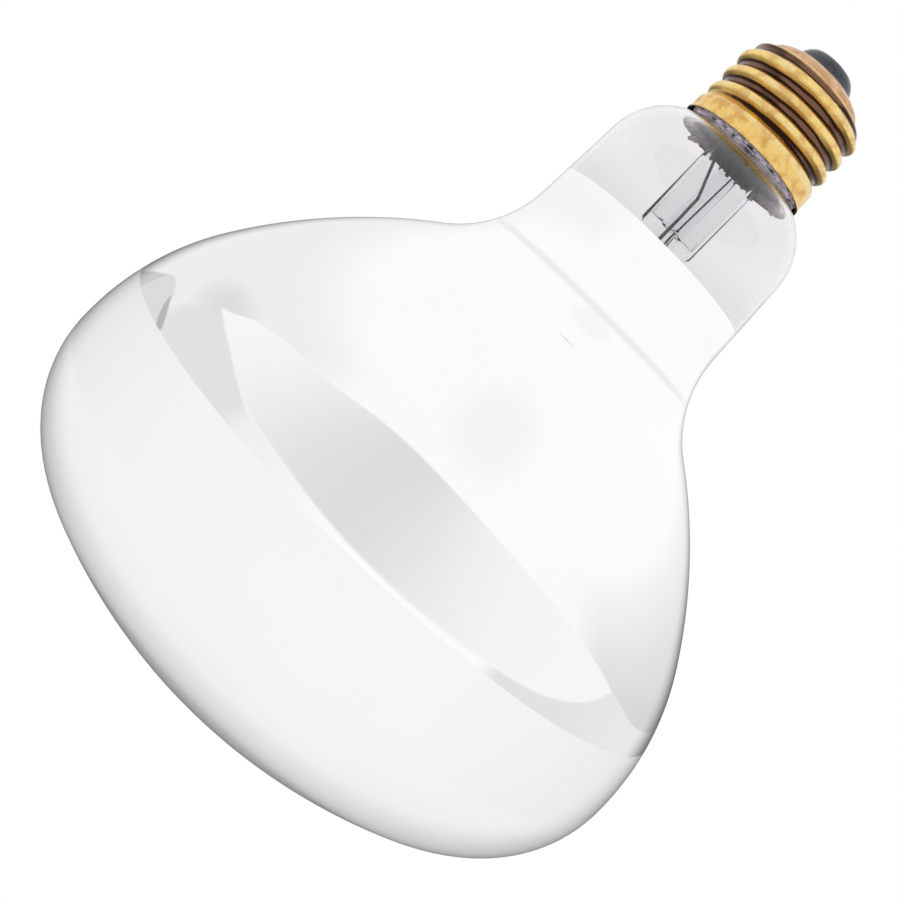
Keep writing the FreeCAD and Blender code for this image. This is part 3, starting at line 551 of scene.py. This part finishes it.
class LAMP_OT_bulb(bpy.types.Operator):
    """Blow the glass bulb, frost its face and mirror its flank"""

    bl_idname = "lamp.bulb"
    bl_label = "Glass Bulb"

    def execute(self, context):
        size, finish = context.scene.lamp_glass, context.scene.lamp_finish
        bulb = self.blow(size)
        edit(bulb)
        # Edge loops exactly at the coatings' edges
        for level in (size.mirror_bottom, size.mirror_top):
            bpy.ops.mesh.select_all(action="SELECT")
            bpy.ops.mesh.bisect(plane_co=(0, 0, level * MM), plane_no=(0, 0, 1), threshold=1e-7)
        leave()
        wall = bulb.modifiers.new("wall", "SOLIDIFY")
        wall.thickness = size.wall * MM
        wall.offset = -1.0
        wall.use_even_offset = True
        wall.material_offset = TO_INNER_SKIN
        wall.material_offset_rim = TO_RIM
        back = plain_metal("mirror_back", MIRROR_BACK, 0.06, 60.0)
        glass = clear_glass("bulb_clear_glass", finish.glass, greyed_from=size.mirror_top * MM)
        frost = frosted_glass(finish)
        outer_skin = (frost, mirrored_glass(finish), glass)
        inner_skin = (frost, back, glass)
        finish_piece(bulb, "bulb_glass", ["glass_envelope"], *outer_skin, *inner_skin)
        for face in bulb.data.polygons:
            level = face.center.z / MM
            if level < size.mirror_bottom:
                face.material_index = FROSTED
            else:
                face.material_index = MIRRORED if level < size.mirror_top else CLEAR
        select(bulb)
        bpy.ops.object.modifier_apply(modifier=wall.name)
        smooth(bulb, 60.0)
        return {"FINISHED"}

    def blow(self, size):
        """The bulb's outer skin: tangent arcs from the middle of the face up to the seal."""
        half = size.bulb_diameter / 2
        edge_x = half - size.edge_radius
        edge_z = size.face_radius - math.sqrt(
            (size.face_radius - size.edge_radius) ** 2 - edge_x**2
        )
        face_turn = math.atan2(edge_x, size.face_radius - edge_z)
        crown_x = half - size.crown_radius
        inset = size.crown_radius - size.flank_radius
        flank_x = crown_x + inset * math.cos(size.crown_sweep)
        flank_z = edge_z + inset * math.sin(size.crown_sweep)
        # The neck's taper: a line out from it and a line along it
        out = Vector((math.cos(size.neck_taper), math.sin(size.neck_taper)))
        up = Vector((-math.sin(size.neck_taper), math.cos(size.neck_taper)))
        neck_end = Vector((size.neck_radius, size.shoulder_height))
        line = neck_end + out * size.waist_radius
        gap = Vector((flank_x, flank_z)) - line
        reach = size.flank_radius + size.waist_radius
        waist = line + up * (gap.dot(up) + math.sqrt(reach**2 - gap.dot(out) ** 2))
        flank_end = math.atan2(waist.y - flank_z, waist.x - flank_x)
        run = neck_end - (waist - out * size.waist_radius)
        shoulder = neck_end - out * size.shoulder_radius
        bend_x = size.seal_radius + size.seal_bend
        reach = size.shoulder_radius + size.seal_bend
        bend_z = shoulder.y + math.sqrt(reach**2 - (bend_x - shoulder.x) ** 2)
        shoulder_end = math.atan2(bend_z - shoulder.y, bend_x - shoulder.x)

        bulb = start_outline("bulb_glass", 0, 0)
        draw_arc(0, size.face_radius, face_turn, STEPS["face"])
        draw_arc(edge_x, edge_z, math.pi / 2 - face_turn, STEPS["edge"])
        draw_arc(crown_x, edge_z, size.crown_sweep, STEPS["crown"])
        draw_arc(flank_x, flank_z, flank_end - size.crown_sweep, STEPS["flank"])
        draw_arc(waist.x, waist.y, size.neck_taper - flank_end, STEPS["waist"])
        draw_line(run.x, run.y, STEPS["neck"])
        draw_arc(shoulder.x, shoulder.y, shoulder_end - size.neck_taper, STEPS["shoulder"])
        draw_arc(bend_x, bend_z, -shoulder_end, STEPS["bend"])
        draw_line(0, size.seal_height - bend_z, STEPS["seal"])
        turn_outline(size.turns)
        return bulb


class LAMP_OT_shell(bpy.types.Operator):
    """Finish the threaded brass shell"""

    bl_idname = "lamp.shell"
    bl_label = "Screw Shell"

    def execute(self, context):
        brass = tarnished_brass(context.scene.lamp_finish)
        # Painted shade: a dark finish for the shell's inner side and the underside of its rim
        inner = plain_metal("painted_shade_shell_inside", SHELL_INSIDE_SHADE, 0.5)
        shell = dress("screw_shell", "brass_shell", "shell_brass", brass, inner)
        # The sheet's inner side and its lower edge face the axis or straight down, and get painted
        # shade: a dark finish in place of their shade
        for face in shell.data.polygons:
            outward = face.normal.x * face.center.x + face.normal.y * face.center.y
            face.material_index = 1 if outward < 0 or face.normal.z < DOWNWARD else 0
        return {"FINISHED"}


class LAMP_OT_contact(bpy.types.Operator):
    """Finish the insulator, the contact and the solder"""

    bl_idname = "lamp.contact"
    bl_label = "Insulator And Contact"

    def execute(self, context):
        dress("insulator", "black_end", "insulator_black", black_insulator())
        brass = plain_metal("contact_brass", CONTACT_BRASS, 0.25)
        dress("contact_plate", "contact_disc", "contact_brass", brass)
        solder = plain_metal("solder_grey", SOLDER, 0.3)
        dress("centre_solder", "contact_solder", "solder", solder)
        dress("side_solder", "rim_solder", "solder", solder)
        return {"FINISHED"}


class LAMP_OT_cement(bpy.types.Operator):
    """Finish the cement between the glass and the shell"""

    bl_idname = "lamp.cement"
    bl_label = "Basing Cement"

    def execute(self, context):
        cement = basing_cement_finish(context.scene.lamp_finish)
        dress("basing_cement", "cement_ring", "cement", cement)
        return {"FINISHED"}


class LAMP_OT_stem(bpy.types.Operator):
    """Finish the glass of the stem, the exhaust tube and the arbor"""

    bl_idname = "lamp.stem"
    bl_label = "Stem Glass"

    def execute(self, context):
        glass = clear_glass("stem_clear_glass", STEM_GLASS, STEM_WAVINESS, STEM_IOR)
        for node in ("stem", "exhaust_tube", "arbor"):
            dress(node, f"glass_{node}", "stem_glass", glass)
        return {"FINISHED"}


class LAMP_OT_wires(bpy.types.Operator):
    """Finish the leads, the press wires, the support wires and the filament"""

    bl_idname = "lamp.wires"
    bl_label = "Wires"

    def execute(self, context):
        dark = context.scene.lamp_finish.wire
        lead = plain_metal("dark_lead", (tuple(dark), shade(dark, 0.5)), 0.4)
        nickel = plain_metal("nickel_lead", NICKEL, 0.25)
        tungsten = plain_metal("tungsten_wire", TUNGSTEN, 0.35)
        for side in ("centre", "side"):
            dress(f"press_wire_{side}", f"dressed_press_wire_{side}", "copper_lead", lead)
        for side in ("centre", "side"):
            dress(f"outer_lead_{side}", f"dressed_outer_lead_{side}", "copper_lead", lead)
        for side in ("centre", "side"):
            dress(f"inner_lead_{side}", f"dressed_inner_lead_{side}", "lead_wire", nickel)
        for node in (*(f"support_wire_{place}" for place in range(1, 5)), "filament"):
            dress(node, f"dressed_{node}", "tungsten", tungsten)
        return {"FINISHED"}


# The stage

FLOOR_SIZE = 12.0
FLOOR_GLOW = 0.985
PAPER_WHITE = (0.95, 0.95, 0.95, 1.0)

# The grey film: its lower and upper edge in metres, and its divisions
FILM_LOW, FILM_HIGH = 0.02, 0.165
FILM_DIVISIONS = 192

# Lines drawn on it: degrees from the front, and height in millimetres. They run over HALF_SPAN
# degrees to each side and up to SPAN_TOP millimetres.
HALF_SPAN = 120.0
SPAN_TOP = 150.0
LOWER_EDGE = (
    (-120, 74), (-66, 74), (-55, 72), (-43, 67.5), (-36, 64.5), (-24, 63), (0, 60),
    (34, 60), (50, 61), (62, 64.5), (72, 70.5), (80, 76), (120, 90),
)
UPPER_EDGE = (
    (-120, 60), (-67, 75), (-61, 85), (-53, 94), (-44, 101), (-33, 109), (-15, 121), (-2, 123),
    (14, 119.5), (27, 113), (39, 105), (49, 96), (57, 87), (66, 77.5), (72, 70.5), (79, 64),
    (87, 58), (120, 45),
)
CARD_EDGE = (
    (-120, 36), (-105, 44), (-95, 52), (-84, 59.7), (-75, 56), (-66, 51), (-55, 40), (120, 20),
)
LEAF_TIP = (-68.0, 76.0, 0.0)

# Depth of each grey shape: 0 is clear and 1 is black
LENS_DEPTH, LENS_LEAST = 0.21, 0.045
STRIP_DEPTH = 0.22
CARD_DEPTHS = (0.27, 0.38)
STROKE_DEPTH = 0.52
HAZE_DEPTH = 0.125
DUSK_DEPTH = 0.26
BAND_DEPTHS = (0.21, 0.17)
WEDGE_DEPTH = 0.31

# Directions from the lamp in which the white tent is darker
BEYOND = (0.039, 0.994, -0.100)
UNDER = (0.04, 0.77, -0.64)
OVERHEAD = (0.056, -0.248, 0.967)
DIM_SIDE = (0.0, 0.97, -0.24)

# The photograph's camera: the directions of its right and upper side
CAMERA_RIGHT = Vector((0.71394, 0.04238, 0.69892))
CAMERA_UP = Vector((-0.69912, 0.09859, 0.70817))
SENSOR_WIDTH = 36.0
CLIP_START = 0.01


def empty_tree(owner):
    """The node tree of a new material or world, with nothing in it."""
    owner.use_nodes = True
    owner.node_tree.nodes.clear()
    return Nodes(owner.node_tree)


class LAMP_OT_stage(bpy.types.Operator):
    """Set up the floor, the light and the photograph's camera"""

    bl_idname = "lamp.stage"
    bl_label = "Stage"

    def execute(self, context):
        stage = context.scene.lamp_stage
        self.floor(stage)
        self.screen(stage)
        self.sky(context, stage)
        self.camera(context, stage)
        context.scene.view_settings.view_transform = "Standard"
        return {"FINISHED"}

    def floor(self, stage):
        """White paper well below the lamp, which is held by its base."""
        deselect()
        drop = -stage.floor_drop * MM
        bpy.ops.mesh.primitive_plane_add(size=FLOOR_SIZE, location=(0, 0, drop))
        floor = bpy.context.object
        floor.name = "floor"
        floor.visible_glossy = False
        floor.visible_diffuse = False
        bpy.ops.object.transform_apply(location=True, rotation=False, scale=False)
        paper = bpy.data.materials.new("white_paper")
        tree = empty_tree(paper)
        diffuse = tree.node("ShaderNodeBsdfDiffuse")
        diffuse.inputs["Color"].default_value = PAPER_WHITE
        white = tree.node("ShaderNodeEmission")
        rays = tree.node("ShaderNodeLightPath")
        share = tree.math("MULTIPLY", rays.outputs["Is Camera Ray"], FLOOR_GLOW)
        links = {0: share, 1: diffuse.outputs[0], 2: white.outputs[0]}
        mixed = tree.node("ShaderNodeMixShader", links)
        tree.node("ShaderNodeOutputMaterial", {"Surface": mixed.outputs[0]})
        floor.data.materials.append(paper)

    def screen(self, stage):
        """A faint grey film bent round the lamp, which only glossy surfaces show."""
        deselect()
        bpy.ops.mesh.primitive_cylinder_add(
            vertices=FILM_DIVISIONS,
            radius=stage.screen_radius * MM,
            depth=FILM_HIGH - FILM_LOW,
            end_fill_type="NOTHING",
            location=(0, 0, (FILM_LOW + FILM_HIGH) / 2),
        )
        screen = bpy.context.object
        screen.name = "grey_screen"
        bpy.ops.object.transform_apply(location=True, rotation=False, scale=False)
        for kind in ("camera", "diffuse", "transmission", "volume_scatter", "shadow"):
            setattr(screen, f"visible_{kind}", False)
        film = bpy.data.materials.new("grey_film")
        tree = empty_tree(film)
        shown = tree.math("SUBTRACT", 1.0, self.film_depth(tree))
        clear = tree.node("ShaderNodeBsdfTransparent", {"Color": shown})
        tree.node("ShaderNodeOutputMaterial", {"Surface": clear.outputs[0]})
        screen.data.materials.append(film)

    def film_depth(self, tree):
        """How grey the film is at each place: the shapes that the mirrored flank shows."""
        place = tree.node("ShaderNodeTexCoord").outputs["Object"]
        parts = tree.node("ShaderNodeSeparateXYZ", {"Vector": place}).outputs
        turned = tree.math("ARCTAN2", parts["X"], tree.math("MULTIPLY", parts["Y"], -1.0))
        # Degrees round the lamp from its front, and millimetres up
        around = tree.math("MULTIPLY", turned, math.degrees(1.0))
        level = tree.math("MULTIPLY", parts["Z"], TO_MM)
        share = tree.math("DIVIDE", tree.math("ADD", around, HALF_SPAN), 2 * HALF_SPAN)

        def above(points):
            """Millimetres above a line through points."""
            scaled = [((a + HALF_SPAN) / (2 * HALF_SPAN), z / SPAN_TOP) for a, z in points]
            line = tree.math("MULTIPLY", tree.curve(share, scaled), SPAN_TOP)
            return tree.math("SUBTRACT", level, line)

        above_lower, above_upper, above_card = map(above, (LOWER_EDGE, UPPER_EDGE, CARD_EDGE))
        # The lens between the two edges is greyest left of its middle
        inside = tree.product(
            tree.spread(above_lower, -1.0, 1.0),
            tree.spread(above_upper, 1.5, -1.5),
            tree.spread(around, -68.0, -66.5),
            tree.spread(around, 73.0, 71.5),
        )
        outside = tree.math("SUBTRACT", 1.0, inside)
        away = tree.math("DIVIDE", tree.math("ADD", around, 8.0), 27.0)
        hump = tree.math("EXPONENT", tree.product(away, away, -1.0))
        grey = tree.math("ADD", tree.math("MULTIPLY", hump, LENS_DEPTH), LENS_LEAST)
        lens = tree.product(inside, grey)
        # Left of it, a grey strip under the lens's bright end, which thins out towards the front
        tail = tree.spread(around, 0.0, -32.0, 0.0, 0.45)
        strip = tree.product(
            tree.spread(above_lower, 1.0, -1.0, 0.0, STRIP_DEPTH),
            tree.spread(around, -31.0, -39.0, tail, 1.0),
            tree.spread(around, -80.0, -68.0),
        )
        # A darker card below, with a stroke along its upper edge
        card = tree.product(
            tree.spread(above_card, 0.8, -0.8),
            tree.spread(around, -66.0, -68.0),
            tree.spread(around, -90.0, -92.0, *CARD_DEPTHS),
        )
        width = tree.spread(around, -80.0, -70.0, 1.0, 2.6)
        core = tree.math("MULTIPLY", width, 0.4)
        stroke = tree.product(
            tree.spread(tree.math("ABSOLUTE", above_card), width, core, 0.0, STROKE_DEPTH),
            tree.spread(around, -82.0, -76.0),
            tree.spread(around, -65.0, -67.0),
        )
        # A haze that fades to the right and upwards, and a dusk round the lens's tip
        haze = tree.product(
            outside,
            tree.spread(around, -24.0, -50.0, 0.0, HAZE_DEPTH),
            tree.spread(level, SPAN_TOP, 95.0),
        )
        spot = tree.node("ShaderNodeCombineXYZ", {"X": around, "Y": level}).outputs["Vector"]
        apart = tree.node("ShaderNodeVectorMath", {0: spot, 1: LEAF_TIP}, operation="DISTANCE")
        near_tip = tree.spread(apart.outputs["Value"], 28.0, 0.0, 0.0, DUSK_DEPTH)
        dusk = tree.product(outside, near_tip)
        # Right of it, a strip under the lens and a wedge that darkens downwards
        band = tree.product(
            tree.spread(above_lower, 1.0, -1.0),
            tree.spread(around, 30.0, 37.0),
            tree.spread(around, 50.0, 80.0, *BAND_DEPTHS),
        )
        wedge = tree.product(
            tree.spread(above_upper, -0.8, 0.8),
            tree.spread(around, 50.0, 68.0),
            tree.slope(level, 60.0, 122.0, WEDGE_DEPTH, 0.0),
        )
        # It all fades out behind the lamp
        front = tree.spread(tree.math("ABSOLUTE", around), 172.0, 125.0)
        deepest = tree.largest(lens, strip, card, stroke, haze, dusk, band, wedge)
        return tree.product(front, deepest)

    def sky(self, context, stage):
        """An even white tent. Reflections show it darker beyond and below the lamp, with a faint
        hole overhead, and the light that it gives is weaker from beyond."""
        world = bpy.data.worlds.new("white_tent")
        context.scene.world = world
        tree = empty_tree(world)
        way = tree.node("ShaderNodeTexCoord").outputs["Generated"]

        def towards(direction):
            links = {0: way, 1: direction}
            made = tree.node("ShaderNodeVectorMath", links, operation="DOT_PRODUCT")
            return made.outputs["Value"]

        # Each range below holds cosines of the angle from a direction
        beyond = tree.math("POWER", tree.spread(towards(BEYOND), 0.75, 0.995), 3.0)
        behind = tree.math("MULTIPLY", beyond, 0.45)
        under = tree.spread(towards(UNDER), 0.52, 0.82, 0.0, 0.8)
        hole = tree.spread(towards(OVERHEAD), 0.965, 0.995, 0.0, 0.05)
        shown = tree.math("SUBTRACT", 1.0, tree.largest(behind, under, hole))
        dimmer = tree.spread(towards(DIM_SIDE), -0.2, 0.4, 1.0, 0.55)
        rays = tree.node("ShaderNodeLightPath").outputs
        reflected = tree.node("ShaderNodeBackground", {"Color": shown, "Strength": stage.sky})
        lit = tree.node("ShaderNodeBackground", {"Color": dimmer, "Strength": stage.sky})
        white = tree.node("ShaderNodeBackground", {"Color": (1.0, 1.0, 1.0, 1.0), "Strength": 1.0})
        links = {0: rays["Is Glossy Ray"], 1: lit.outputs[0], 2: reflected.outputs[0]}
        around = tree.node("ShaderNodeMixShader", links)
        straight = tree.largest(rays["Is Camera Ray"], rays["Is Transmission Ray"])
        links = {0: straight, 1: around.outputs[0], 2: white.outputs[0]}
        tent = tree.node("ShaderNodeMixShader", links)
        tree.node("ShaderNodeOutputWorld", {"Surface": tent.outputs[0]})

    def camera(self, context, stage):
        """The photograph's camera, in front of the lamp and tilted."""
        data = bpy.data.cameras.new("photo_camera")
        data.lens = stage.lens
        data.sensor_width = SENSOR_WIDTH
        data.shift_x = stage.shift_x
        data.shift_y = stage.shift_y
        data.clip_start = CLIP_START
        camera = bpy.data.objects.new("photo_camera", data)
        context.scene.collection.objects.link(camera)
        axes = Matrix((CAMERA_RIGHT, CAMERA_UP, CAMERA_RIGHT.cross(CAMERA_UP)))
        place = axes.transposed().to_4x4()
        place.translation = (0.0, -stage.distance * MM, stage.height * MM)
        camera.matrix_world = place
        context.scene.camera = camera


OPERATORS = (
    LAMP_OT_bulb,
    LAMP_OT_shell,
    LAMP_OT_contact,
    LAMP_OT_cement,
    LAMP_OT_stem,
    LAMP_OT_wires,
    LAMP_OT_stage,
)


class LAMP_PT_panel(bpy.types.Panel):
    """Lists the lamp's pieces and settings"""

    bl_label = "Heat Lamp"
    bl_idname = "LAMP_PT_panel"
    bl_space_type = "VIEW_3D"
    bl_region_type = "UI"
    bl_category = "Heat Lamp"

    def draw(self, context):
        scene = context.scene
        for operator in OPERATORS:
            self.layout.operator(operator.bl_idname)
        for group in (scene.lamp_glass, scene.lamp_finish, scene.lamp_stage):
            for key in group.bl_rna.properties.keys():
                if key not in ("rna_type", "name"):
                    self.layout.prop(group, key)


CLASSES = (LampGlass, LampFinish, LampStage, *OPERATORS, LAMP_PT_panel)


def register():
    for cls in CLASSES:
        bpy.utils.register_class(cls)
    bpy.types.Scene.lamp_glass = bpy.props.PointerProperty(type=LampGlass)
    bpy.types.Scene.lamp_finish = bpy.props.PointerProperty(type=LampFinish)
    bpy.types.Scene.lamp_stage = bpy.props.PointerProperty(type=LampStage)


def unregister():
    del bpy.types.Scene.lamp_glass
    del bpy.types.Scene.lamp_finish
    del bpy.types.Scene.lamp_stage
    for cls in reversed(CLASSES):
        bpy.utils.unregister_class(cls)


def main():
    register()
    bpy.ops.lamp.bulb()
    bpy.ops.lamp.shell()
    bpy.ops.lamp.contact()
    bpy.ops.lamp.cement()
    bpy.ops.lamp.stem()
    bpy.ops.lamp.wires()
    bpy.ops.lamp.stage()


if __name__ == "__main__":
    main()
